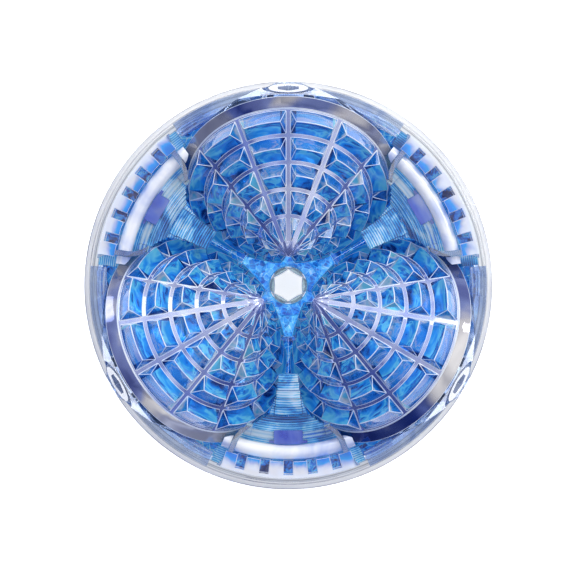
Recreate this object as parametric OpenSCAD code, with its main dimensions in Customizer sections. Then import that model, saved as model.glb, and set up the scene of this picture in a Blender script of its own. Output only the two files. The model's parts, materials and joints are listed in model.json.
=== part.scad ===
// A clear maze ball, flat at the back and open in front, with three studded cone wheels.
// Millimetres. The ball's threefold axis is +Z and the flat foot lies on z = 0.
// Wheel 1 points along +Y. Wheels 2 and 3 follow anticlockwise, a third of a turn apart.

/* [Ball] */
// Radius of the ball
ball_r = 50; // [49.8:0.1:50.2]
// Height of the ball's centre above the flat foot
centre_h = 46; // [45.8:0.1:46.2]
// Wall of the clear rear shell
shell_wall = 3; // [2.6:0.1:3.2]
// Wall of the blue inner bowl
bowl_wall = 2.6; // [2.4:0.1:2.8]

/* [Cone wheels] */
// Downward tilt of each wheel's axis
axis_dip = 42; // [41.8:0.1:42.2]
// Distance of each cone's apex from the ball's axis
apex_r = 6.6; // [6.5:0.1:6.8]
// Height of each cone's apex above the ball's centre
apex_z = 21.5; // [21.2:0.1:21.6]
// Columns of studs round each wheel
stud_columns = 12; // [10:1:14]
// Height of the tallest studs above the groove floor
stud_h = 2.7; // [1.8:0.1:2.7]
// Width of the grooves that run from tip to rim
long_groove = 1.1; // [0.8:0.1:1.3]
// Width of the grooves that run round the cone
ring_groove = 0.86; // [0.6:0.02:1.1]
// Wall of the hollow studded skin under the grooves
skin_wall = 2.2; // [1.8:0.1:2.4]

/* [Bearings] */
// Radius of each axle
axle_r = 3; // [2.8:0.1:3]
// Radial running clearance between axle and bush
running_gap = 0.04; // [0.02:0.01:0.08]

/* [Shoulder screws] */
// Upward slope of each screw's axis, seen from the ball's centre
screw_rise = 19.3; // [19:0.1:19.6]
// Width across the flats of the hexagon socket
socket_flats = 5; // [4:0.5:5]

/* [Valleys] */
// Gaps in each comb
comb_slots = 5; // [3:1:5]
// Angle from one comb gap to the next
comb_pitch = 7.5; // [7:0.1:7.8]
// Treads on each stepped tongue
tongue_treads = 5; // [4:1:6]

/* [Hidden] */
$fn = 96;

// General gaps: between fixed parts, and round each turning wheel
seat_gap = 0.05;
wheel_gap = 0.6;
big = 200;

// Levels measured from the ball's centre
seam_z = -3;
ring_top_z = 9;
bowl_top_z = 8;
deck_z = 11;
deck_under_z = bowl_top_z + seat_gap;

// Shell and bowl
shell_in_r = ball_r - shell_wall;
foot_floor_z = -centre_h + shell_wall;
bowl_out_r = 45.8;
bowl_in_r = bowl_out_r - bowl_wall;
bowl_floor_z = foot_floor_z + bowl_wall;
bowl_half = 59.95;
ring_in_r = 46;

// Centre hub and its see-through hole
hub_r = 8;
hub_foot_r = 14;
hub_bore_r = 5.45;
hub_top_z = -18.4;
hub_ring_h = 1.2;
hub_ring_bore_r = 4.8;
foot_bore_r = 4.3;
rod_count = 6;
rod_back_r = 5.4;
rod_corner_r = 4.1;
rod_corner_angle = 29.3;
rod_face_r = 3.45;

// Cone wheel: all slants are measured along the 45 degree surface from the apex
cone_angle = 45;
stud_rows = 5;
row_start = 3.33;
row_pitch = 6.24;
rim_slant = 37.57;
skin_slant = row_start + row_pitch * stud_rows;
skin_end = skin_slant * cos(cone_angle);
rim_end = rim_slant * cos(cone_angle);
column_angle = 360 / stud_columns;
hip_run = 1.2;
row_height = [0.45, 0.7, 0.88, 0.96, 1];

// Wheel internals: distances along the wheel's axis from the cone's apex
rim_in_r = 20.6;
plate_front = 23.2;
plate_back = 25;
boss_front = 11;
boss_r = 7;
bush_r = 4.5;
bush_flange_r = 6;
bush_flange_t = 1;
clip_front = 9.2;
clip_t = 0.7;
clip_r = 5;
clip_groove_r = 2.6;
clip_gap = 2;
axle_front = 8.4;
washer_t = 0.5;
washer_r = 6.5;
end_float = 0.08;
collar_front = plate_back + end_float + washer_t + seat_gap;
collar_back = collar_front + 2.4;
collar_r = 5.5;
axle_tail = 44;
bearer_r = 7.5;
axle_screw_r = 2;
axle_screw_front = 38;
axle_screw_back = 49.3;
axle_screw_head_r = 4;
axle_socket_flats = 2.5;
axle_socket_depth = 1.2;

// Shoulders and their screws: distances from the ball's centre along the screw's axis
shoulder_half = 35.7;
shoulder_floor_r = 30;
shoulder_top_z = 30;
flat_turn = 30;
flat_r = 43.6;
shelf_r = 47.5;
shelf_z = 12;
slot_from = 26.7;
slot_sweep = 7.8;
slot_radii = [44.9, 45.9];
shelf_slot_w = 0.5;
slot_depth = 1.5;
shoulder_in_r = 45.4;
screw_head_r = 4.7;
screw_head_top = 49.5;
screw_seat = 46.3;
screw_end = 41.9;
screw_shank_r = 3;
counterbore_r = 6.35;
socket_depth = 2.4;
lug_in_r = 41.8;
lug_half = 9;
lug_top_z = 17.5;

// Valley parts
valley_half = 23.8;
deck_in_r = 31.7;
deck_out_r = 45.9;
deck_step = 0.7;
deck_drop = 1.2;
deck_steps = 3;
deck_lip_z = 5.5;
deck_lip_r = 34.5;
comb_in_r = 41.9;
comb_wall = 0.8;
comb_floor = 0.8;
comb_top_z = 15;
comb_half = 20.6;
slot_w = 2.3;
rail_path_r = 39.9;
rail_r = 1.75;
rail_half = 22.8;
lip_in_r = 35.2;
lip_out_r = 37;
lip_h = 1.6;
lip_half = 16.8;
hook_half = 14.2;
hook_in_r = 34;
hook_h = 2.4;
tab_w = 6.9;
tab_in_r = 34.6;
tab_h = 2.2;
tab_out_r = 38;
tab_step_r = 37.05;
tab_step_w = 9.2;
tab_step_h = 1.2;
fence_t = 1.2;
fence_h = 4.4;
fence_in_r = 34.8;
fence_out_r = 45.8;
fence_steps = 10;
fence_from = 15.9;
fence_sweep = 5.2;
fence_bow = 0.7;
tongue_in_r = 21.2;
tongue_out_r = deck_in_r - 0.4;
tongue_in_w = 4.9;
tongue_out_w = 6.8;
tongue_top_z = 12;
tongue_t = 3;
tread_rise = 0.6;
gusset_l = 5;
gusset_w = 1.3;
gusset_h = 1.6;

// ---- Placement ----

module lift() { translate([0, 0, centre_h]) children(); }

// Wheel directions are at 90, 210 and 330 degrees, and valleys lie halfway between them
module at_wheel(i) { lift() rotate([0, 0, 90 + 120 * (i - 1)]) children(); }
module at_valley(i) { lift() rotate([0, 0, 30 + 120 * (i - 1)]) children(); }

// Along wheel i's own axis: +Z runs from the cone's apex to its back
module along_axis() { translate([apex_r, 0, apex_z]) rotate([0, 90 + axis_dip, 0]) children(); }
module on_axis(i) { at_wheel(i) along_axis() children(); }

// Along a shoulder screw's axis: +Z runs outwards from the ball's centre
module along_screw() { rotate([0, 90 - screw_rise, 0]) children(); }

// A ring about +Z from z0 to z1
module tube(r_in, r_out, z0, z1) {
    difference() {
        translate([0, 0, z0]) cylinder(r = r_out, h = z1 - z0);
        translate([0, 0, z0 - 1]) cylinder(r = r_in, h = z1 - z0 + 2);
    }
}

// A turned sector from -half to +half degrees about the +X direction
module sector(half) { rotate([0, 0, -half]) rotate_extrude(angle = 2 * half) children(); }

// A plain annular sector
module arc_block(r_in, r_out, z0, z1, half) {
    sector(half) translate([r_in, z0]) square([r_out - r_in, z1 - z0]);
}

// Space that a turning wheel needs, drawn along its own axis
module wheel_room() {
    tip = stud_h * sin(cone_angle) + wheel_gap;
    mid = (skin_slant - row_pitch / 2) * cos(cone_angle);
    rotate_extrude() polygon([
        [0, -wheel_gap * 2],
        [tip + 3, 3 - stud_h],
        [mid + tip, mid - tip],
        [rim_end + wheel_gap, rim_end - wheel_gap],
        [rim_end + wheel_gap, rim_end + wheel_gap],
        [rim_in_r - wheel_gap, rim_end + wheel_gap],
        [rim_in_r - wheel_gap, plate_back + wheel_gap],
        [0, plate_back + wheel_gap]
    ]);
}

module both_neighbours() {
    for (turn = [-60, 60]) rotate([0, 0, turn]) along_axis() wheel_room();
}

// ---- Shells ----

module rear_shell() {
    color("lightcyan", 0.5) lift() difference() {
        intersection() {
            sphere(r = ball_r);
            translate([0, 0, -centre_h]) cylinder(r = big, h = centre_h + seam_z);
        }
        intersection() {
            sphere(r = shell_in_r);
            translate([0, 0, foot_floor_z]) cylinder(r = big, h = big);
        }
        translate([0, 0, -centre_h - 1]) cylinder(r = foot_bore_r, h = shell_wall + 2);
    }
}

// Clear outer ring with three rising steps inside its round edge
module equator_ring() {
    step_z = [5, 7, ring_top_z];
    step_r = [ball_r, 48.4, 47.6];
    color("white", 0.5) lift() intersection() {
        sphere(r = ball_r);
        difference() {
            union() for (k = [0 : 2])
                translate([0, 0, seam_z]) cylinder(r = step_r[k], h = step_z[k] - seam_z);
            translate([0, 0, seam_z - 1]) cylinder(r = ring_in_r, h = big);
        }
    }
}

// One third of the blue bowl, with its wheel's axle screwed to it. The bottom is open for the hub
module bowl(i) {
    color("royalblue", 0.6) difference() {
        at_wheel(i) intersection() {
            sphere(r = bowl_out_r);
            arc_block(hub_foot_r + seat_gap, big, foot_floor_z + seat_gap, bowl_top_z, bowl_half);
        }
        lift() intersection() {
            sphere(r = bowl_in_r);
            translate([0, 0, bowl_floor_z]) cylinder(r = big, h = big);
        }
        on_axis(i) axle_holes();
    }
}

// Hole for an axle, then for its screw, with a countersink in the bowl's outside
module axle_holes() {
    sink_h = axle_screw_head_r - axle_screw_r;
    cylinder(r = axle_r + seat_gap, h = axle_tail + seat_gap);
    cylinder(r = axle_screw_r + seat_gap, h = axle_screw_back + 2);
    translate([0, 0, axle_screw_back - sink_h])
        cylinder(r1 = axle_screw_r + seat_gap, r2 = axle_screw_head_r + seat_gap, h = sink_h);
    translate([0, 0, axle_screw_back]) cylinder(r = axle_screw_head_r + seat_gap, h = 4);
}

// Round post that holds one axle, clamped between the axle's collar and the bowl
module bearer(i) {
    color("cornflowerblue", 0.7) intersection() {
        lift() sphere(r = bowl_in_r - seat_gap);
        on_axis(i) difference() {
            translate([0, 0, collar_back + seat_gap])
                cylinder(r = bearer_r, h = axle_screw_back - collar_back);
            axle_holes();
        }
    }
}

// Block that hooks over the bowl's edge and takes one shoulder screw
module screw_block(i) {
    color("steelblue", 0.7) at_wheel(i) difference() {
        intersection() {
            sphere(r = shoulder_in_r - seat_gap);
            arc_block(shoulder_floor_r, ball_r, 0, lug_top_z, lug_half);
        }
        sphere(r = lug_in_r);
        intersection() {
            difference() {
                sphere(r = ball_r);
                sphere(r = bowl_in_r - seat_gap);
            }
            translate([0, 0, -1]) cylinder(r = big, h = bowl_top_z + seat_gap + 1);
        }
        along_axis() wheel_room();
        along_screw() cylinder(r = screw_shank_r + seat_gap, h = ball_r);
    }
}

// ---- Centre ----

module core_hub() {
    color("deepskyblue", 0.6) lift() {
        tube(hub_bore_r, hub_r, foot_floor_z + seat_gap, hub_top_z);
        tube(hub_bore_r, hub_foot_r, foot_floor_z + seat_gap, bowl_floor_z + 1);
    }
}

module hub_ring() {
    color("lightskyblue", 0.6) lift()
        tube(hub_ring_bore_r, hub_r, hub_top_z, hub_top_z + hub_ring_h);
}

// Six lens-shaped rods stand round the hole, corner to corner
module hub_rods() {
    x = rod_corner_r * cos(rod_corner_angle);
    y = rod_corner_r * sin(rod_corner_angle);
    back_c = (rod_back_r ^ 2 - x ^ 2 - y ^ 2) / (2 * (rod_back_r - x));
    face_c = (x ^ 2 + y ^ 2 - rod_face_r ^ 2) / (2 * (x - rod_face_r));
    z0 = foot_floor_z + seat_gap;
    h = hub_top_z - seat_gap - z0;
    color("paleturquoise", 0.6) lift() for (k = [0 : rod_count - 1])
        rotate([0, 0, k * 360 / rod_count]) translate([0, 0, z0]) intersection() {
            translate([back_c, 0, 0]) cylinder(r = rod_back_r - back_c, h = h);
            translate([face_c, 0, 0]) cylinder(r = face_c - rod_face_r, h = h, $fn = 360);
        }
}

// ---- Valleys ----

// Stair-edged deck between two wheels
module deck(i) {
    stair = [for (k = [0 : deck_steps], edge = [0, 1])
        [deck_in_r + deck_step * k,
         deck_z - deck_drop * (deck_steps - k + (edge == 0 && k > 0 ? 1 : 0))]];
    foot = [[deck_in_r, deck_lip_z]];
    back = [[deck_out_r, deck_z], [deck_out_r, deck_under_z],
        [deck_lip_r + deck_under_z - deck_lip_z, deck_under_z], [deck_lip_r, deck_lip_z]];
    color("cornflowerblue", 0.6) at_valley(i) difference() {
        sector(valley_half) polygon(concat(foot, stair, back));
        both_neighbours();
    }
}

// Wall of raised blocks round the outside, joined by a thin skin at the back
module comb(i) {
    color("lightsteelblue", 0.6) at_valley(i) difference() {
        arc_block(comb_in_r, deck_out_r, deck_z, comb_top_z, comb_half);
        both_neighbours();
        for (k = [0 : comb_slots - 1])
            rotate([0, 0, (k - (comb_slots - 1) / 2) * comb_pitch])
                translate([comb_in_r - 1, -slot_w / 2, deck_z + comb_floor])
                    cube([deck_out_r - comb_wall - comb_in_r + 1, slot_w, comb_top_z]);
    }
}

// Round rail, broken by the two fences
module rails(i) {
    color("aliceblue", 0.6) at_valley(i) difference() {
        sector(rail_half) translate([rail_path_r, deck_z + rail_r - 0.35]) circle(r = rail_r);
        translate([0, 0, deck_z - 2]) cylinder(r = big, h = 2);
        both_neighbours();
        fence_pair(2 * seat_gap);
    }
}

// Low lip with a hooked end on each side
module lip(i) {
    color("lavender", 0.7) at_valley(i) difference() {
        union() {
            arc_block(lip_in_r, lip_out_r, deck_z, deck_z + lip_h, lip_half);
            difference() {
                arc_block(hook_in_r, lip_out_r, deck_z, deck_z + hook_h, lip_half);
                arc_block(hook_in_r - 1, lip_out_r + 1, deck_z - 1, deck_z + hook_h + 1, hook_half);
            }
        }
        translate([0, -tab_w / 2 - seat_gap, deck_z - 1])
            cube([ball_r, tab_w + 2 * seat_gap, lip_h + 2]);
        both_neighbours();
        fence_pair(2 * seat_gap);
    }
}

// Stepped key block between the lip and the rail
module key(i) {
    color("mediumslateblue", 0.7) at_valley(i) intersection() {
        union() {
            translate([tab_in_r, -tab_w / 2, deck_z]) cube([big, tab_w, tab_h]);
            translate([tab_step_r, -tab_step_w / 2, deck_z]) cube([big, tab_step_w, tab_step_h]);
        }
        cylinder(r = tab_out_r, h = big);
    }
}

// A fence sweeps outwards in a shallow S from the lip's end to the ring
function fence_angle(t) = fence_from + fence_sweep * t ^ 0.7 + fence_bow * sin(360 * t);
function fence_point(t, side, grow) =
    let (r = fence_in_r + (fence_out_r - fence_in_r) * t,
         a = fence_angle(t) + side * (fence_t / 2 + grow) / r * 180 / PI)
    [r * cos(a), r * sin(a)];

module fence_pair(grow = 0) {
    steps = [for (k = [0 : fence_steps]) k / fence_steps];
    outline = concat([for (t = steps) fence_point(t, -1, grow)],
        [for (k = [fence_steps : -1 : 0]) fence_point(steps[k], 1, grow)]);
    for (side = [0, 1]) mirror([0, side, 0])
        translate([0, 0, deck_z - grow]) linear_extrude(fence_h + grow) polygon(outline);
}

module fences(i) {
    color("ghostwhite", 0.7) at_valley(i) difference() {
        fence_pair();
        both_neighbours();
        arc_block(comb_in_r - 2 * seat_gap, big, 0, big, comb_half + 0.1);
    }
}

// Stepped tongue that reaches from the deck towards the hub
module tongue(i) {
    tread = (tongue_out_r - tongue_in_r) / tongue_treads;
    color("dodgerblue", 0.6) at_valley(i) {
        for (k = [0 : tongue_treads - 1]) {
            w = tongue_in_w + (tongue_out_w - tongue_in_w) * k / (tongue_treads - 1);
            translate([tongue_in_r + tread * k, -w / 2, tongue_top_z - tread_rise * k - tongue_t])
                cube([tread, w, tongue_t]);
        }
        for (side = [0, 1]) mirror([0, side, 0])
            translate([tongue_out_r, tongue_out_w / 2 - 0.01,
                    tongue_top_z - tread_rise * (tongue_treads - 1) - tongue_t])
                linear_extrude(gusset_h) polygon([[-gusset_l, -0.4], [0, -0.4], [0, gusset_w]]);
    }
}

// ---- Shoulders ----

// Part of the ball's skin behind one wheel: a crest between two flats, on a slotted shelf
module shoulder(i) {
    color("aliceblue", 0.6) at_wheel(i) difference() {
        union() {
            intersection() {
                sphere(r = ball_r);
                arc_block(shoulder_floor_r, ball_r + 1, ring_top_z + seat_gap,
                    shoulder_top_z, shoulder_half);
                rotate([0, 0, flat_turn]) between_flats();
                rotate([0, 0, -flat_turn]) between_flats();
            }
            arc_block(shoulder_floor_r, shelf_r, ring_top_z + seat_gap, shelf_z, shoulder_half);
        }
        sphere(r = shoulder_in_r);
        for (side = [0, 1], r = slot_radii) mirror([0, side, 0]) rotate([0, 0, slot_from])
            rotate_extrude(angle = slot_sweep)
                translate([r, shelf_z - slot_depth]) square([shelf_slot_w, slot_depth + 1]);
        along_axis() translate([0, 0, -big]) cylinder(r = big, h = big + rim_end + wheel_gap);
        along_screw() {
            cylinder(r = screw_shank_r + seat_gap, h = ball_r);
            translate([0, 0, screw_seat]) cylinder(r = counterbore_r, h = 10);
        }
    }
}

// Everything on the ball's side of one vertical flat
module between_flats() { translate([-big, -big, -big]) cube([big + flat_r, 2 * big, 2 * big]); }

module shoulder_screws() {
    color("silver") for (i = [1 : 3]) at_wheel(i) along_screw() difference() {
        union() {
            translate([0, 0, screw_seat]) cylinder(r = screw_head_r, h = screw_head_top - screw_seat);
            translate([0, 0, screw_end]) cylinder(r = screw_shank_r, h = screw_seat - screw_end + 1);
        }
        translate([0, 0, screw_head_top - socket_depth])
            cylinder(d = socket_flats / cos(30), h = socket_depth + 1, $fn = 6);
    }
}

// ---- Axles ----

// Pin with a clip groove at the front, a collar at the middle and a tapped tail
module axle(i) {
    color("lightgray") on_axis(i) difference() {
        rotate_extrude() polygon([
            [0, axle_front], [axle_r, axle_front], [axle_r, clip_front],
            [clip_groove_r, clip_front], [clip_groove_r, clip_front + clip_t + seat_gap],
            [axle_r, clip_front + clip_t + seat_gap], [axle_r, collar_front],
            [collar_r, collar_front], [collar_r, collar_back], [axle_r, collar_back],
            [axle_r, axle_tail], [0, axle_tail]
        ]);
        translate([0, 0, axle_screw_front - 1]) cylinder(r = axle_screw_r + seat_gap, h = big);
    }
}

// Split ring in each axle's groove
module axle_clips() {
    z = clip_front + seat_gap / 2;
    color("gray") for (i = [1 : 3]) on_axis(i) difference() {
        tube(clip_groove_r + seat_gap, clip_r, z, z + clip_t);
        translate([0, -clip_gap / 2, z - 1]) cube([clip_r + 1, clip_gap, clip_t + 2]);
    }
}

module thrust_washers() {
    z = plate_back + end_float;
    color("whitesmoke") for (i = [1 : 3]) on_axis(i) tube(axle_r + seat_gap, washer_r, z, z + washer_t);
}

// Countersunk screws that draw the axles into the bowl
module axle_screws() {
    color("silver") for (i = [1 : 3]) on_axis(i) difference() {
        rotate_extrude() polygon([
            [0, axle_screw_front], [axle_screw_r, axle_screw_front],
            [axle_screw_r, axle_screw_back - axle_screw_head_r + axle_screw_r],
            [axle_screw_head_r, axle_screw_back], [0, axle_screw_back]
        ]);
        translate([0, 0, axle_screw_back - axle_socket_depth])
            cylinder(d = axle_socket_flats / cos(30), h = big, $fn = 6);
    }
}

// ---- Wheels ----

// Point on the cone at slant l and angle a, raised by h from the groove floor
function cone_point(l, a, h) =
    let (r = l * sin(cone_angle) + h * cos(cone_angle),
         s = l * cos(cone_angle) - h * sin(cone_angle))
    [r * cos(a), r * sin(a), s];

// Half the angle that a long groove covers at slant l
function groove_half(l) = asin(long_groove / 2 / (l * sin(cone_angle)));

// Share of a stud's half width that its sloping end takes in row k
function hip_share(k) =
    let (r = (row_start + row_pitch * (k + 0.5)) * sin(cone_angle),
         half_w = r * PI / stud_columns - long_groove / 2)
    min(hip_run * row_height[k] / half_w, 0.55);

// The five angles across a stud: foot, ridge end, middle, ridge end, foot
function across_stud(l, k) =
    let (g = groove_half(l), m = column_angle / 2, hip = g + (m - g) * hip_share(k))
    [g, hip, m, column_angle - hip, column_angle - g];

// Each row has three lines of points: near foot, ridge and far foot
function row_line(k, part) =
    let (near = row_start + row_pitch * k + ring_groove / 2,
         far = row_start + row_pitch * (k + 1) - ring_groove / 2,
         l = part == 0 ? near : part == 1 ? (near + far) / 2 : far,
         h = part == 1 ? stud_h * row_height[k] : 0)
    [for (c = [0 : stud_columns - 1], j = [0 : 4])
        cone_point(l, c * column_angle + across_stud(l, k)[j], j == 0 || j == 4 ? 0 : h)];

function plain_line(l, r_less) =
    [for (c = [0 : stud_columns - 1], j = [0 : 4])
        let (a = c * column_angle + across_stud(skin_slant, stud_rows - 1)[j],
             r = l * sin(cone_angle) - r_less)
        [r * cos(a), r * sin(a), l * cos(cone_angle)]];

function joined(lists) = [for (part = lists) each part];

// Hollow skin: tip, fifteen lines of points, end ring, inner ring and inner tip
module cone_skin(i) {
    around = stud_columns * 5;
    inner_shift = skin_wall / sin(cone_angle);
    lines = concat([for (k = [0 : stud_rows - 1], part = [0 : 2]) row_line(k, part)],
        [plain_line(skin_slant, 0), plain_line(skin_slant, inner_shift)]);
    last = len(lines) - 1;
    points = concat([[0, 0, 0]], joined(lines), [[0, 0, inner_shift]]);
    inner_tip = len(points) - 1;
    function at(line, j) = 1 + line * around + j % around;
    // The diagonal of each four-sided patch follows the stud's sloping corner
    function crossed(line, j) =
        (line % 3 == 0 && j % 5 == 3) || (line % 3 == 1 && j % 5 == 0);
    function patch(line, j) =
        let (a = at(line, j), b = at(line, j + 1), c = at(line + 1, j + 1), d = at(line + 1, j))
        crossed(line, j) ? [[a, b, d], [b, c, d]] : [[a, b, c], [a, c, d]];
    faces = concat(
        [for (j = [0 : around - 1]) [0, at(0, j), at(0, j + 1)]],
        [for (line = [0 : last - 1], j = [0 : around - 1], f = patch(line, j)) [f[2], f[1], f[0]]],
        [for (j = [0 : around - 1]) [inner_tip, at(last, j + 1), at(last, j)]]);
    color("royalblue", 0.7) on_axis(i) polyhedron(points, faces);
}

// Smooth band round the wheel's edge
module cone_rim(i) {
    color("lightgray", 0.8) on_axis(i) rotate_extrude() polygon([
        [rim_in_r, skin_end], [skin_end, skin_end], [rim_end, rim_end], [rim_in_r, rim_end]
    ]);
}

// Back plate with the long boss that holds the bush
module cone_plate(i) {
    edge_r = rim_in_r - seat_gap;
    front_r = plate_front - skin_wall / sin(cone_angle) - 2 * seat_gap;
    color("steelblue", 0.7) on_axis(i) rotate_extrude() polygon([
        [bush_r + seat_gap, boss_front], [boss_r, boss_front], [boss_r, plate_front],
        [front_r, plate_front], [edge_r, plate_front + edge_r - front_r],
        [edge_r, plate_back], [bush_r + seat_gap, plate_back]
    ]);
}

// Flanged bearing sleeve
module cone_bush(i) {
    color("ivory") on_axis(i) {
        tube(axle_r + running_gap, bush_r, boss_front - bush_flange_t, plate_back);
        tube(bush_r - bush_flange_t / 2, bush_flange_r, boss_front - bush_flange_t, boss_front);
    }
}

rear_shell();
equator_ring();
bowl(1);  // bowl_1
bowl(2);  // bowl_2
bowl(3);  // bowl_3
bearer(1);  // bearer_1
bearer(2);  // bearer_2
bearer(3);  // bearer_3
screw_block(1);  // screw_block_1
screw_block(2);  // screw_block_2
screw_block(3);  // screw_block_3
core_hub();
hub_ring();
hub_rods();
deck(1);  // deck_1
deck(2);  // deck_2
deck(3);  // deck_3
comb(1);  // comb_1
comb(2);  // comb_2
comb(3);  // comb_3
rails(1);  // rails_1
rails(2);  // rails_2
rails(3);  // rails_3
lip(1);  // lip_1
lip(2);  // lip_2
lip(3);  // lip_3
key(1);  // key_1
key(2);  // key_2
key(3);  // key_3
fences(1);  // fences_1
fences(2);  // fences_2
fences(3);  // fences_3
tongue(1);  // tongue_1
tongue(2);  // tongue_2
tongue(3);  // tongue_3
shoulder(1);  // shoulder_1
shoulder(2);  // shoulder_2
shoulder(3);  // shoulder_3
axle(1);  // axle_1
axle(2);  // axle_2
axle(3);  // axle_3
cone_skin(1);  // cone_skin_1
cone_skin(2);  // cone_skin_2
cone_skin(3);  // cone_skin_3
cone_rim(1);  // cone_rim_1
cone_rim(2);  // cone_rim_2
cone_rim(3);  // cone_rim_3
cone_plate(1);  // cone_plate_1
cone_plate(2);  // cone_plate_2
cone_plate(3);  // cone_plate_3
cone_bush(1);  // cone_bush_1
cone_bush(2);  // cone_bush_2
cone_bush(3);  // cone_bush_3
shoulder_screws();
axle_clips();
thrust_washers();
axle_screws();
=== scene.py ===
# Clear maze ball with three studded cone wheels, seen straight down into its open front.
# Metres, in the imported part's own frame: +Z up, wheel 1 towards +Y, the foot on z = 0.
import json
import math

import bmesh
import bpy
from mathutils import Matrix, Vector


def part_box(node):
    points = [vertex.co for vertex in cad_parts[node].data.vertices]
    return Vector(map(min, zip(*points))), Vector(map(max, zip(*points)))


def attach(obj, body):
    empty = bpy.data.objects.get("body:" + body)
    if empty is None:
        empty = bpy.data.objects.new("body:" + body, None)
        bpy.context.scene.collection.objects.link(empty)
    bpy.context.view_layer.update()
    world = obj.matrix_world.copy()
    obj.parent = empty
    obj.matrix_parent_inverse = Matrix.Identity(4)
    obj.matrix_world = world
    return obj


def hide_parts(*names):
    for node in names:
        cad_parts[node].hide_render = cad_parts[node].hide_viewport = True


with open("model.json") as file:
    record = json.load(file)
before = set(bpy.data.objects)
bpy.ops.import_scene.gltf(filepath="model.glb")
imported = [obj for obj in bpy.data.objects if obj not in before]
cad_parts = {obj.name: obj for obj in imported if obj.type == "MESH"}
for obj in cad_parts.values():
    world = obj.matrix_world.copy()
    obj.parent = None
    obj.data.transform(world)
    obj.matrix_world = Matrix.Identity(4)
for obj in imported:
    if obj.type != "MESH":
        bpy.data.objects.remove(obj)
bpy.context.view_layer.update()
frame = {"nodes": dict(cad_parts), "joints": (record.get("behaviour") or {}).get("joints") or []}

MM = 0.001
HAIR = 0.02 * MM
WELD = 0.002 * MM
SEAM_BELOW_CENTRE = 3 * MM
SLOT_FLOOR_H = 1 * MM

# ---- Places taken from the frame ----

BALL_R = (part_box("equator_ring")[1].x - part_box("equator_ring")[0].x) / 2
SEAM_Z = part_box("equator_ring")[0].z
CENTRE_Z = SEAM_Z + SEAM_BELOW_CENTRE
DECK_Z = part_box("comb_1")[0].z
comb_radii = [vert.co.xy.length for vert in frame["nodes"]["comb_1"].data.vertices]
COMB_IN, COMB_OUT = min(comb_radii), max(comb_radii)
WHEELS = (1, 2, 3)
WHEEL_JOINT = {i: frame["joints"][i - 1] for i in WHEELS}


# ---- Mesh helpers ----

def link(name, mesh, body, materials, replaced):
    """Puts a finished mesh in the scene, on its body, in place of the CAD nodes it stands for."""
    piece = bpy.data.objects.new(name, mesh)
    bpy.context.scene.collection.objects.link(piece)
    for material in materials:
        mesh.materials.append(material)
    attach(piece, body)
    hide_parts(*replaced)
    return piece


def smooth(mesh, sharp_deg=32):
    mesh.shade_smooth()
    mesh.set_sharp_from_angle(angle=math.radians(sharp_deg))


def bevel(piece, width, segments=2, angle_deg=30):
    """Rounds a moulding's sharp edges. The rounded strips take the piece's last material."""
    mod = piece.modifiers.new("round_edges", "BEVEL")
    mod.width = width
    mod.segments = segments
    mod.limit_method = "ANGLE"
    mod.angle_limit = math.radians(angle_deg)
    mod.harden_normals = True
    mod.miter_outer = "MITER_ARC"
    mod.use_clamp_overlap = True
    # The last material is an edge colour, painting a highlight or a dark outline of shade on the rounded
    # strip.
    mod.material = len(piece.data.materials) - 1


def moulded(node, body, materials, width, segments=2, angle_deg=30, low_z=None):
    """A copy of a CAD node's mesh, with flat faces joined and edges rounded as a mould leaves them.

    The copy is a hair smaller than the node, so that pieces that touch never share a face. Faces
    below low_z take the second material.
    """
    bm = bmesh.new()
    bm.from_mesh(frame["nodes"][node].data)
    bmesh.ops.remove_doubles(bm, verts=bm.verts, dist=WELD)
    bmesh.ops.dissolve_limit(bm, angle_limit=math.radians(0.4), verts=bm.verts, edges=bm.edges)
    bmesh.ops.recalc_face_normals(bm, faces=bm.faces)
    bm.normal_update()
    for vert in bm.verts:
        vert.co -= vert.normal * HAIR
    for face in bm.faces:
        face.material_index = 1 if low_z and face.calc_center_median().z < low_z else 0
    mesh = bpy.data.meshes.new(node + "_moulded")
    bm.to_mesh(mesh)
    bm.free()
    smooth(mesh)
    piece = link(node + "_moulded", mesh, body, materials, [node])
    bevel(piece, width, segments, angle_deg)
    return piece


def wheel_matrix(i):
    """Wheel i's own frame: origin at the cone's apex, +Z along its axis to its back."""
    joint = WHEEL_JOINT[i]
    z = Vector(joint["axis"]).normalized()
    y = Vector((0, 0, 1)).cross(z).normalized()
    x = y.cross(z)
    turn = Matrix((x, y, z)).transposed().to_4x4()
    return Matrix.Translation(Vector(joint["pos_m"])) @ turn


# ---- Materials ----

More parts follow.
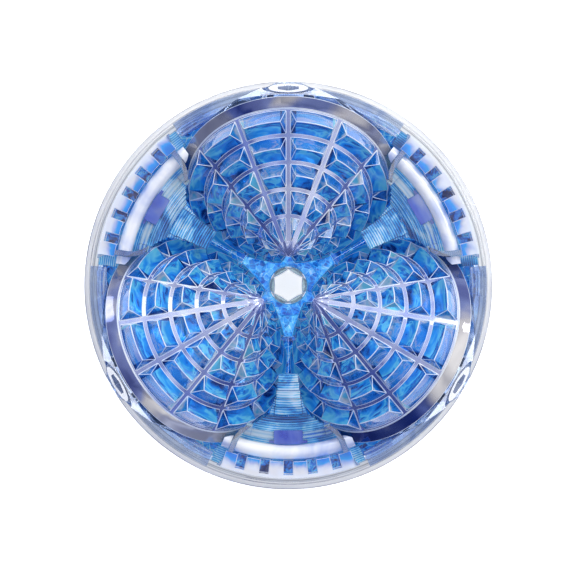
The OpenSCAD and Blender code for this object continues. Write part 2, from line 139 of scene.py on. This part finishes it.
def plastic(name, stops, clear=0.8, rough=0.05, ior=1.5, grain=60.0, warp=1.5, stretch=(1, 1, 1),
            ripple=0.15, painted_glow=0.0, coat=0.8, rings=0.0, flow=0.0, outward=None, metal=0.0,
            shards=0.0, calm=1.0):
    """Polished tinted plastic. Its colour wanders through the stops like swirls set in the moulding,
    its polish is uneven and its surface ripples slightly.

    Rings is the spacing of fine turned lines round the ball's axis. Flow lays the swirls along a
    studded skin's own turned direction instead, and shifts the colour by that much from a facet's
    foot to its crest, a painted highlight on the crest and painted shade at the foot. Outward is
    two radii and the shift in colour between them. Shards is how many bright-edged crystal cells
    there are to the metre; their bright edges are painted light, standing for the glints that the
    cut plastic behind throws up. Calm scales the swirls down where a shift alone should show.
    Painted glow is emission in the plastic's own colour, painted light, as the plastic is no lamp.
    """
    mat = bpy.data.materials.new(name)
    mat.use_nodes = True
    nodes, links = mat.node_tree.nodes, mat.node_tree.links
    shader = nodes["Principled BSDF"]
    coord = nodes.new("ShaderNodeTexCoord")
    spread = nodes.new("ShaderNodeMapping")
    spread.inputs["Scale"].default_value = stretch
    swirl = nodes.new("ShaderNodeTexNoise")
    swirl.inputs["Scale"].default_value = grain
    swirl.inputs["Detail"].default_value = 3.5
    swirl.inputs["Roughness"].default_value = 0.55
    swirl.inputs["Distortion"].default_value = warp
    hue = nodes.new("ShaderNodeValToRGB")
    ramp = hue.color_ramp
    while len(ramp.elements) < len(stops):
        ramp.elements.new(0.5)
    for element, (place, colour) in zip(ramp.elements, stops):
        element.position = place
        element.color = (*colour, 1)
    polish = nodes.new("ShaderNodeTexNoise")
    polish.inputs["Scale"].default_value = grain * 4
    polish.inputs["Detail"].default_value = 3
    level = nodes.new("ShaderNodeMapRange")
    level.inputs["To Min"].default_value = rough * 0.4
    level.inputs["To Max"].default_value = rough * 1.6
    wave = nodes.new("ShaderNodeBump")
    wave.inputs["Strength"].default_value = ripple
    wave.inputs["Distance"].default_value = 0.0004
    origin = coord.outputs["Object"]
    if flow:
        lie = nodes.new("ShaderNodeUVMap")
        lie.uv_map = "flow"
        origin = lie.outputs["UV"]
    links.new(origin, spread.inputs["Vector"])
    links.new(spread.outputs["Vector"], swirl.inputs["Vector"])
    links.new(spread.outputs["Vector"], polish.inputs["Vector"])
    pattern = swirl.outputs["Fac"]
    if calm != 1:
        quiet = nodes.new("ShaderNodeMapRange")
        quiet.inputs["To Min"].default_value = 0.5 - calm / 2
        quiet.inputs["To Max"].default_value = 0.5 + calm / 2
        links.new(pattern, quiet.inputs["Value"])
        pattern = quiet.outputs["Result"]

    def shifted(source, low, high, shift):
        """The pattern plus a shift that grows from nothing at low to its full amount at high."""
        climb = nodes.new("ShaderNodeMapRange")
        climb.inputs["From Min"].default_value = low
        climb.inputs["From Max"].default_value = high
        climb.inputs["To Min"].default_value = -shift / 2
        climb.inputs["To Max"].default_value = shift / 2
        total = nodes.new("ShaderNodeMath")
        total.operation = "ADD"
        links.new(source, climb.inputs["Value"])
        links.new(climb.outputs["Result"], total.inputs[0])
        links.new(pattern, total.inputs[1])
        return total.outputs["Value"]

    # Painted light: each facet is shifted lighter towards its crest as a painted highlight and darker
    # towards its foot as painted shade.
    if flow:
        facet = nodes.new("ShaderNodeUVMap")
        facet.uv_map = "facet"
        apart = nodes.new("ShaderNodeSeparateXYZ")
        links.new(facet.outputs["UV"], apart.inputs["Vector"])
        pattern = shifted(apart.outputs["Y"], 0, 1, flow)
    if shards:
        cells = nodes.new("ShaderNodeTexVoronoi")
        cells.inputs["Scale"].default_value = shards
        pale = nodes.new("ShaderNodeSeparateColor")
        links.new(coord.outputs["Object"], cells.inputs["Vector"])
        links.new(cells.outputs["Color"], pale.inputs["Color"])
        pattern = shifted(pale.outputs["Red"], 0, 1, 0.3)
        # Painted light: the cells brighten towards their borders, glints that stand for what the cut plastic
        # behind throws up.
        borders = nodes.new("ShaderNodeTexVoronoi")
        borders.feature = "DISTANCE_TO_EDGE"
        borders.inputs["Scale"].default_value = shards
        links.new(coord.outputs["Object"], borders.inputs["Vector"])
        pattern = shifted(borders.outputs["Distance"], 0.07, 0.0, 0.2)
    if outward:
        flat = nodes.new("ShaderNodeVectorMath")
        flat.operation = "MULTIPLY"
        flat.inputs[1].default_value = (1, 1, 0)
        reach = nodes.new("ShaderNodeVectorMath")
        reach.operation = "LENGTH"
        links.new(coord.outputs["Object"], flat.inputs[0])
        links.new(flat.outputs["Vector"], reach.inputs[0])
        pattern = shifted(reach.outputs["Value"], *outward)
    if rings:
        turned = nodes.new("ShaderNodeTexWave")
        turned.wave_type = "RINGS"
        turned.rings_direction = "Z"
        # At scale 1 this texture turns 20 radians in one unit of length
        turned.inputs["Scale"].default_value = math.tau / (20 * rings)
        turned.inputs["Distortion"].default_value = 0.6
        share = nodes.new("ShaderNodeMath")
        share.operation = "MULTIPLY_ADD"
        share.inputs[1].default_value = 0.2
        links.new(coord.outputs["Object"], turned.inputs["Vector"])
        links.new(turned.outputs["Fac"], share.inputs[0])
        links.new(pattern, share.inputs[2])
        less = nodes.new("ShaderNodeMath")
        less.operation = "SUBTRACT"
        less.inputs[1].default_value = 0.1
        links.new(share.outputs["Value"], less.inputs[0])
        pattern = less.outputs["Value"]
    links.new(pattern, hue.inputs["Fac"])
    links.new(hue.outputs["Color"], shader.inputs["Base Color"])
    links.new(polish.outputs["Fac"], level.inputs["Value"])
    links.new(level.outputs["Result"], shader.inputs["Roughness"])
    links.new(swirl.outputs["Fac"], wave.inputs["Height"])
    links.new(wave.outputs["Normal"], shader.inputs["Normal"])
    shader.inputs["IOR"].default_value = ior
    shader.inputs["Metallic"].default_value = metal
    shader.inputs["Transmission Weight"].default_value = clear
    shader.inputs["Coat Weight"].default_value = coat
    shader.inputs["Coat Roughness"].default_value = 0.03
    # Painted light: the plastic gives off light in its own colour, though it is no lamp.
    if painted_glow:
        links.new(hue.outputs["Color"], shader.inputs["Emission Color"])
        shader.inputs["Emission Strength"].default_value = painted_glow
    return mat


NAVY, INDIGO, BLUE = (0.003, 0.025, 0.17), (0.02, 0.12, 0.52), (0.015, 0.27, 0.85)
SKY, CYAN, ICE = (0.035, 0.42, 0.93), (0.2, 0.78, 0.98), (0.88, 0.97, 1.0)
LAVENDER, MIST, WHITE = (0.52, 0.6, 0.88), (0.84, 0.88, 0.95), (1.0, 1.0, 1.0)
TEAL_DEEP, TEAL = (0.004, 0.07, 0.26), (0.08, 0.5, 0.86)
STAIR_STOPS = ((0.3, TEAL_DEEP), (0.4, (0.02, 0.3, 0.72)), (0.5, TEAL), (0.6, (0.4, 0.82, 0.95)),
               (0.68, ICE))

# Where a plastic is given a glow, it gives off light though it is no lamp: painted light that lifts the
# bowl, hub, stairs, rails, ring, comb, plates, stud faces and edge strips.
MATS = {
    "clear_shell": plastic("clear_shell", ((0.3, (0.93, 0.95, 0.97)), (0.7, WHITE)), 0.95),
    "clear_ring": plastic("clear_ring", ((0.0, WHITE), (0.2, (0.9, 0.9, 0.91)), (0.27, (0.3, 0.31, 0.33)),
                                         (0.34, WHITE), (0.5, (0.9, 0.9, 0.91)), (0.57, (0.24, 0.25, 0.27)),
                                         (0.64, WHITE), (0.88, (0.9, 0.9, 0.91)), (1.0, (0.55, 0.56, 0.58))),
                          0.6, painted_glow=0.2, coat=1, calm=0.1, outward=(BALL_R * 0.92, BALL_R * 1.0, 1.0)),
    "deep_blue": plastic("deep_blue", ((0.24, NAVY), (0.36, BLUE), (0.48, SKY), (0.6, CYAN), (0.72, ICE)),
                         0.35, 0.06, grain=130.0, warp=3.0, painted_glow=0.16, shards=430.0),
    "hub_blue": plastic("hub_blue", ((0.24, (0.02, 0.16, 0.5)), (0.38, SKY), (0.5, (0.2, 0.6, 0.92)),
                                     (0.6, CYAN), (0.74, ICE)),
                        0.6, 0.05, grain=300.0, warp=1.5, painted_glow=0.26, shards=700.0),
    "tongue_blue": plastic("tongue_blue", STAIR_STOPS, 0.6, 0.05, grain=150.0, painted_glow=0.12, rings=0.6 * MM),
    "clear_rod": plastic("clear_rod", ((0.3, (0.3, 0.45, 0.5)), (0.5, (0.7, 0.86, 0.86)), (0.7, ICE)), 0.75),
    "deck_blue": plastic("deck_blue", STAIR_STOPS, 0.55, grain=90.0, painted_glow=0.1, rings=0.5 * MM),
    # The comb shifts from blue inside to white at its outside: partly its pale plastic, partly a painted
    # highlight on the outer edges of the blocks.
    "comb_white": plastic("comb_white", ((0.26, BLUE), (0.38, SKY), (0.47, LAVENDER), (0.55, MIST),
                                         (0.64, WHITE)),
                          0.4, painted_glow=0.1, coat=1, outward=(COMB_IN, COMB_OUT, 0.48)),
    "slot_blue": plastic("slot_blue", ((0.42, NAVY), (0.5, BLUE), (0.56, SKY), (0.6, CYAN), (0.64, INDIGO)),
                         0.4, 0.04, grain=420.0, warp=1.0, painted_glow=0.06, coat=1),
    # The rails are near white: partly pale plastic, partly a painted highlight, the sheen the rounded tube
    # catches.
    "pale_clear": plastic("pale_clear", ((0.3, (0.45, 0.56, 0.88)), (0.42, (0.76, 0.81, 0.96)),
                                         (0.55, WHITE)),
                          0.3, 0.04, ior=1.7, painted_glow=0.08, coat=1),
    "lip_clear": plastic("lip_clear", ((0.3, BLUE), (0.4, (0.4, 0.7, 0.95)), (0.5, (0.7, 0.9, 0.97)),
                                       (0.65, ICE)),
                         0.65, coat=1, rings=0.9 * MM),
    "fence_clear": plastic("fence_clear", ((0.35, (0.45, 0.56, 0.88)), (0.6, MIST)),
                           0.8, 0.03, ior=1.6, coat=1),
    "shoulder_clear": plastic("shoulder_clear", ((0.35, (0.3, 0.46, 0.82)), (0.6, (0.7, 0.8, 0.96))),
                              0.88, 0.03, ior=1.6, ripple=0.05, coat=0.4),
    "key_blue": plastic("key_blue", ((0.35, (0.06, 0.12, 0.7)), (0.5, (0.22, 0.34, 0.86)), (0.65, LAVENDER)),
                        0.6),
    "clear_pin": plastic("clear_pin", ((0.3, SKY), (0.7, ICE)), 0.7),
    "rim_grey": plastic("rim_grey", ((0.42, (0.01, 0.04, 0.26)), (0.48, (0.1, 0.15, 0.4)),
                                     (0.53, (0.42, 0.41, 0.45)), (0.62, (0.74, 0.72, 0.72))),
                        0.35, 0.04, grain=30.0, warp=0.6, ior=1.8, ripple=0.05, coat=1, metal=0.5),
    "plate_blue": plastic("plate_blue", ((0.3, BLUE), (0.7, CYAN)), 0.5, painted_glow=0.1),
    "bearing_clear": plastic("bearing_clear", ((0.3, SKY), (0.7, ICE)), 0.7),
    "screw_clear": plastic("screw_clear", ((0.3, (0.3, 0.38, 0.6)), (0.7, MIST)), 0.7, coat=1),
    "groove": plastic("groove", ((0.35, (0.28, 0.36, 0.72)), (0.65, (0.58, 0.62, 0.84))), 0.4, 0.07,
                      ior=1.8, ripple=0.05, coat=1, metal=0.6),
    # The inner, outer and side stud faces are copies of one clear blue plastic, tinted each for the way it
    # faces: painted light and reflection, with the most painted glow on the inner faces.
    "inner_facet": plastic("inner_facet", ((0.3, NAVY), (0.4, BLUE), (0.48, SKY), (0.55, CYAN), (0.59, SKY),
                                           (0.65, INDIGO), (0.72, TEAL)),
                           0.6, 0.03, grain=90.0, warp=1.2, stretch=(1, 3.5, 1), painted_glow=0.16, flow=0.14),
    "outer_facet": plastic("outer_facet", ((0.26, NAVY), (0.36, BLUE), (0.46, (0.06, 0.36, 0.88)),
                                           (0.52, LAVENDER), (0.57, SKY), (0.66, (0.4, 0.6, 0.95)),
                                           (0.74, ICE)),
                           0.65, 0.03, grain=90.0, warp=1.2, stretch=(1, 3.5, 1), painted_glow=0.08, flow=0.12),
    "side_facet": plastic("side_facet", ((0.34, NAVY), (0.44, BLUE), (0.52, SKY), (0.58, ICE), (0.64, CYAN)),
                          0.65, 0.03, grain=90.0, warp=0.8, stretch=(2.5, 1, 1), painted_glow=0.05, flow=0.1),
    # The edge strips are painted light and shade on the rounded edges: the white and the sky-blue strips are
    # painted highlights, the navy and the grey strips are painted dark outlines.
    "edge": plastic("edge", ((0.35, (0.7, 0.8, 1.0)), (0.65, (0.97, 0.99, 1.0))),
                    0.3, 0.05, painted_glow=0.1, coat=1),
    "blue_edge": plastic("blue_edge", ((0.35, SKY), (0.65, CYAN)), 0.4, 0.05, painted_glow=0.2, coat=1),
    "dark_edge": plastic("dark_edge", ((0.35, NAVY), (0.65, (0.02, 0.16, 0.5))), 0.4, 0.05, coat=1),
    "grey_edge": plastic("grey_edge", ((0.35, (0.4, 0.42, 0.48)), (0.65, (0.85, 0.86, 0.88))),
                         0.5, 0.05, coat=1),
}
BLUE_EDGED = ("deep_blue", "hub_blue", "plate_blue")
DARK_EDGED = ("deck_blue", "tongue_blue", "lip_clear", "key_blue")
GREY_EDGED = ("clear_ring", "clear_shell", "shoulder_clear")
SLOT = {"deck_blue": "ring_blue", "comb_white": "ring_blue", "key_blue": "violet_blue",
        "lip_clear": "pale_clear", "fence_clear": "pale_clear", "shoulder_clear": "pale_clear",
        "tongue_blue": "hub_blue"}


def finish_of(kind):
    """The body and edge materials of one kind of part, and its slot in the record."""
    # Each kind of part gets an edge colour painted onto its rounded strips: white or sky-blue as painted
    # highlight, navy or grey as painted shade.
    edge = "edge"
    for family, wanted in ((BLUE_EDGED, "blue_edge"), (DARK_EDGED, "dark_edge"),
                           (GREY_EDGED, "grey_edge")):
        if kind in family:
            edge = wanted
    return [MATS[kind], MATS[edge]], SLOT.get(kind, kind)


# ---- Studded skins ----

CONE = math.radians(45)
ROWS = 5
COLUMNS = 12
ROW_START = 3.33 * MM
ROW_PITCH = 6.24 * MM
LONG_GROOVE = 1.1 * MM
RING_GROOVE = 0.86 * MM
STUD_H = 2.7 * MM
# Shares of the full stud height, from the row at the tip to the row at the rim
ROW_HEIGHT = (0.45, 0.7, 0.88, 0.96, 1.0)
HIP_RUN = 1.2 * MM
HIP_MOST = 0.55
FLOW_RUN = 45 * MM
# Folds, in degrees, from which an edge is rounded in full and by half
SHARP_FOLD = 55
SOFT_FOLD = 14
# Share of that rounding which is left at the very tip, where the studs are small
TIP_WEIGHT = 0.3
SKIN_WALL = 2.2 * MM
ACROSS = 6
GROOVE, INNER_FACET, OUTER_FACET, SIDE_FACET = range(4)


def cone_point(slant, angle, height):
    r = slant * math.sin(CONE) + height * math.cos(CONE)
    s = slant * math.cos(CONE) - height * math.sin(CONE)
    return Vector((r * math.cos(angle), r * math.sin(angle), s))


def across_stud(slant, row):
    """Angles of the lines across one stud, foot to foot, measured from the groove's middle."""
    half = math.pi / COLUMNS
    groove = math.asin(LONG_GROOVE / 2 / (slant * math.sin(CONE)))
    mid_r = (ROW_START + ROW_PITCH * (row + 0.5)) * math.sin(CONE)
    half_w = mid_r * half - LONG_GROOVE / 2
    share = min(HIP_RUN * ROW_HEIGHT[row] / half_w, HIP_MOST)
    hip = groove + (half - groove) * share
    ridge = [hip + (2 * half - 2 * hip) * k / ACROSS for k in range(ACROSS + 1)]
    return [groove] + ridge + [2 * half - groove]


def skin_mesh():
    """Hollow studded cone in the wheel's own frame, as one closed mesh."""
    bm = bmesh.new()
    per_stud = ACROSS + 3
    around = COLUMNS * per_stud
    lines = []
    for row in range(ROWS):
        near = ROW_START + ROW_PITCH * row + RING_GROOVE / 2
        far = ROW_START + ROW_PITCH * (row + 1) - RING_GROOVE / 2
        for slant, on_ridge in ((near, False), ((near + far) / 2, True), (far, False)):
            line = []
            for column in range(COLUMNS):
                for j, angle in enumerate(across_stud(slant, row)):
                    raised = on_ridge and 0 < j < per_stud - 1
                    height = STUD_H * ROW_HEIGHT[row] if raised else 0
                    line.append(bm.verts.new(cone_point(slant, column * math.tau / COLUMNS + angle, height)))
            lines.append(line)
    end = ROW_START + ROW_PITCH * ROWS
    shift = SKIN_WALL / math.sin(CONE)
    for less in (0, shift):
        line = []
        for column in range(COLUMNS):
            for angle in across_stud(end, ROWS - 1):
                a = column * math.tau / COLUMNS + angle
                r = end * math.sin(CONE) - less
                line.append(bm.verts.new((r * math.cos(a), r * math.sin(a), end * math.cos(CONE))))
        lines.append(line)
    tip = bm.verts.new((0, 0, 0))
    inner_tip = bm.verts.new((0, 0, shift))
    flow_map = bm.loops.layers.uv.new("flow")
    facet_map = bm.loops.layers.uv.new("facet")
    for j in range(around):
        k = (j + 1) % around
        bm.faces.new((tip, lines[0][k], lines[0][j]))
        bm.faces.new((inner_tip, lines[-1][j], lines[-1][k]))
    for n in range(len(lines) - 1):
        for j in range(around):
            k = (j + 1) % around
            a, b, c, d = lines[n][j], lines[n][k], lines[n + 1][k], lines[n + 1][j]
            part = j % per_stud
            if n < 3 * ROWS - 1 and n % 3 == 0 and part == 0:
                tris = ((a, b, c), (a, c, d))
            elif n < 3 * ROWS - 1 and n % 3 == 0 and part == per_stud - 2:
                tris = ((a, b, d), (b, c, d))
            elif n < 3 * ROWS - 1 and n % 3 == 1 and part == 0:
                tris = ((a, b, d), (b, c, d))
            elif n < 3 * ROWS - 1 and n % 3 == 1 and part == per_stud - 2:
                tris = ((a, b, c), (a, c, d))
            else:
                tris = ((a, b, c, d),)
            # Grooves and the inner, outer and side stud faces take separate materials; the stud faces' tints
            # paint the light and reflection each way of facing catches.
            if part == per_stud - 1 or n % 3 == 2 or n >= 3 * ROWS - 1:
                kind = GROOVE
            elif part in (0, per_stud - 2):
                kind = SIDE_FACET
            else:
                kind = INNER_FACET if n % 3 == 0 else OUTER_FACET
            crest = {0: (0, 0, 1, 1), 1: (1, 1, 0, 0)}.get(n % 3, (0, 0, 0, 0))
            places = {}
            for vert, column_line, line, up in ((a, j, n, crest[0]), (b, j + 1, n, crest[1]),
                                                (c, j + 1, n + 1, crest[2]), (d, j, n + 1, crest[3])):
                run = FLOW_RUN * column_line / around * math.tau / 2
                places[vert] = (run, vert.co.length), (column_line / per_stud, up)
            for tri in tris:
                face = bm.faces.new(tri)
                face.material_index = kind
                for loop in face.loops:
                    loop[flow_map].uv, loop[facet_map].uv = places[loop.vert]
    bmesh.ops.recalc_face_normals(bm, faces=bm.faces)
    bm.normal_update()
    weight = bm.edges.layers.float.new("bevel_weight_edge")
    for edge in bm.edges:
        fold = math.degrees(edge.calc_face_angle(0))
        near_tip = min(v.co.length for v in edge.verts) / (ROW_START + ROW_PITCH * 2)
        full = TIP_WEIGHT + (1 - TIP_WEIGHT) * min(1, near_tip)
        edge[weight] = full if fold > SHARP_FOLD else 0.5 * full if fold > SOFT_FOLD else 0.0
    mesh = bpy.data.meshes.new("studded_skin")
    bm.to_mesh(mesh)
    bm.free()
    return mesh


SKIN_MATERIALS = [MATS[kind] for kind in ("groove", "inner_facet", "outer_facet", "side_facet", "edge")]
for i in WHEELS:
    mesh = skin_mesh()
    mesh.transform(wheel_matrix(i))
    smooth(mesh, SOFT_FOLD)
    piece = link(f"studded_skin_{i}", mesh, f"wheel_{i}", SKIN_MATERIALS,
                 [f"cone_skin_{i}"])
    bevel(piece, 0.3 * MM, 2, SOFT_FOLD)
    piece.modifiers["round_edges"].limit_method = "WEIGHT"
    for part, kind in (("cone_rim", "rim_grey"), ("cone_plate", "plate_blue"),
                       ("cone_bush", "bearing_clear")):
        materials, slot = finish_of(kind)
        moulded(f"{part}_{i}", f"wheel_{i}", materials, 0.25 * MM)

# ---- Fixed parts ----

FIXED = {
    "rear_shell": ("clear_shell", 0.6), "equator_ring": ("clear_ring", 0.25),
    "core_hub": ("hub_blue", 0.25), "hub_ring": ("hub_blue", 0.25),
    "hub_rods": ("clear_rod", 0.15), "shoulder_screws": ("screw_clear", 0.2),
    "axle_clips": ("clear_pin", 0.1), "thrust_washers": ("bearing_clear", 0.1),
    "axle_screws": ("clear_pin", 0.15),
}
for i in WHEELS:
    FIXED.update({
        f"bowl_{i}": ("deep_blue", 0.3), f"bearer_{i}": ("deep_blue", 0.25),
        f"screw_block_{i}": ("deck_blue", 0.2), f"deck_{i}": ("deck_blue", 0.2),
        f"comb_{i}": ("comb_white", 0.25), f"rails_{i}": ("pale_clear", 0.2),
        f"lip_{i}": ("lip_clear", 0.2), f"key_{i}": ("key_blue", 0.25),
        f"fences_{i}": ("fence_clear", 0.25), f"tongue_{i}": ("tongue_blue", 0.2),
        f"shoulder_{i}": ("shoulder_clear", 0.35), f"axle_{i}": ("clear_pin", 0.2),
    })
for node, (kind, width) in FIXED.items():
    materials, slot = finish_of(kind)
    if kind == "comb_white":
        materials.insert(1, MATS["slot_blue"])
        moulded(node, "base", materials, width * MM, low_z=DECK_Z + SLOT_FLOOR_H)
    else:
        moulded(node, "base", materials, width * MM)

# ---- Floor, light and camera ----

floor_mesh = bpy.data.meshes.new("floor")
side = 3.0
corners = [(-side, -side, 0), (side, -side, 0), (side, side, 0), (-side, side, 0)]
floor_mesh.from_pydata(corners, [], [(0, 1, 2, 3)])
floor = bpy.data.objects.new("floor", floor_mesh)
bpy.context.scene.collection.objects.link(floor)
floor_mat = bpy.data.materials.new("floor")
floor_mat.use_nodes = True
shader = floor_mat.node_tree.nodes["Principled BSDF"]
shader.inputs["Base Color"].default_value = (0.9, 0.9, 0.9, 1)
shader.inputs["Roughness"].default_value = 0.9
shader.inputs["Emission Color"].default_value = (1, 1, 1, 1)
shader.inputs["Emission Strength"].default_value = 0.75
floor_mesh.materials.append(floor_mat)

world = bpy.data.worlds.new("studio")
bpy.context.scene.world = world
world.use_nodes = True
nodes, links = world.node_tree.nodes, world.node_tree.links
background = nodes["Background"]
# The room is deep blue behind the ball and below the picture, and rises through light and dark
# bands to white in front of it and above
way = nodes.new("ShaderNodeTexCoord")
lean = nodes.new("ShaderNodeVectorMath")
lean.operation = "DOT_PRODUCT"
lean.inputs[1].default_value = (0.28, 0.66, 0.69)
sky = nodes.new("ShaderNodeValToRGB")
ROOM = ((0.0, (0.06, 0.09, 0.24)), (0.1, (0.08, 0.12, 0.32)), (0.24, (0.38, 0.45, 0.7)),
        (0.3, (0.12, 0.16, 0.36)), (0.42, (0.75, 0.77, 0.82)), (0.56, (1.0, 1.0, 1.0)),
        (0.66, (0.5, 0.51, 0.56)), (0.78, (1.0, 1.0, 1.0)), (1.0, (1.1, 1.1, 1.1)))
while len(sky.color_ramp.elements) < len(ROOM):
    sky.color_ramp.elements.new(0.5)
for element, (place, colour) in zip(sky.color_ramp.elements, ROOM):
    element.position = place
    element.color = (*colour, 1)
links.new(way.outputs["Generated"], lean.inputs[0])
links.new(lean.outputs["Value"], sky.inputs["Fac"])
links.new(sky.outputs["Color"], background.inputs["Color"])
background.inputs["Strength"].default_value = 1.25


def softbox(name, place, size, power, colour=(1, 1, 1)):
    data = bpy.data.lights.new(name, "AREA")
    data.shape = "RECTANGLE"
    data.size, data.size_y = size
    data.energy = power
    data.color = colour
    lamp = bpy.data.objects.new(name, data)
    bpy.context.scene.collection.objects.link(lamp)
    lamp.location = place
    lamp.rotation_euler = (Vector((0, 0, CENTRE_Z)) - Vector(place)).to_track_quat("-Z", "Y").to_euler()


softbox("key", (0.45, 0.4, 0.6), (0.5, 0.35), 2.0)
softbox("fill", (-0.3, 0.6, 0.5), (0.3, 0.3), 0.6)

camera_data = bpy.data.cameras.new("camera")
camera_data.lens = 101.5
camera_data.sensor_width = 36
# The shifts are shares of the picture's width, and set the ball a little off its middle
camera_data.shift_x = -0.00139
camera_data.shift_y = -0.00383
camera = bpy.data.objects.new("camera", camera_data)
bpy.context.scene.collection.objects.link(camera)
camera.location = (0, 0, CENTRE_Z + 8 * BALL_R)
bpy.context.scene.camera = camera
bpy.context.scene.view_settings.view_transform = "Standard"
bpy.context.scene.view_settings.gamma = 0.93
bpy.context.scene.cycles.max_bounces = 16
bpy.context.scene.cycles.transmission_bounces = 16
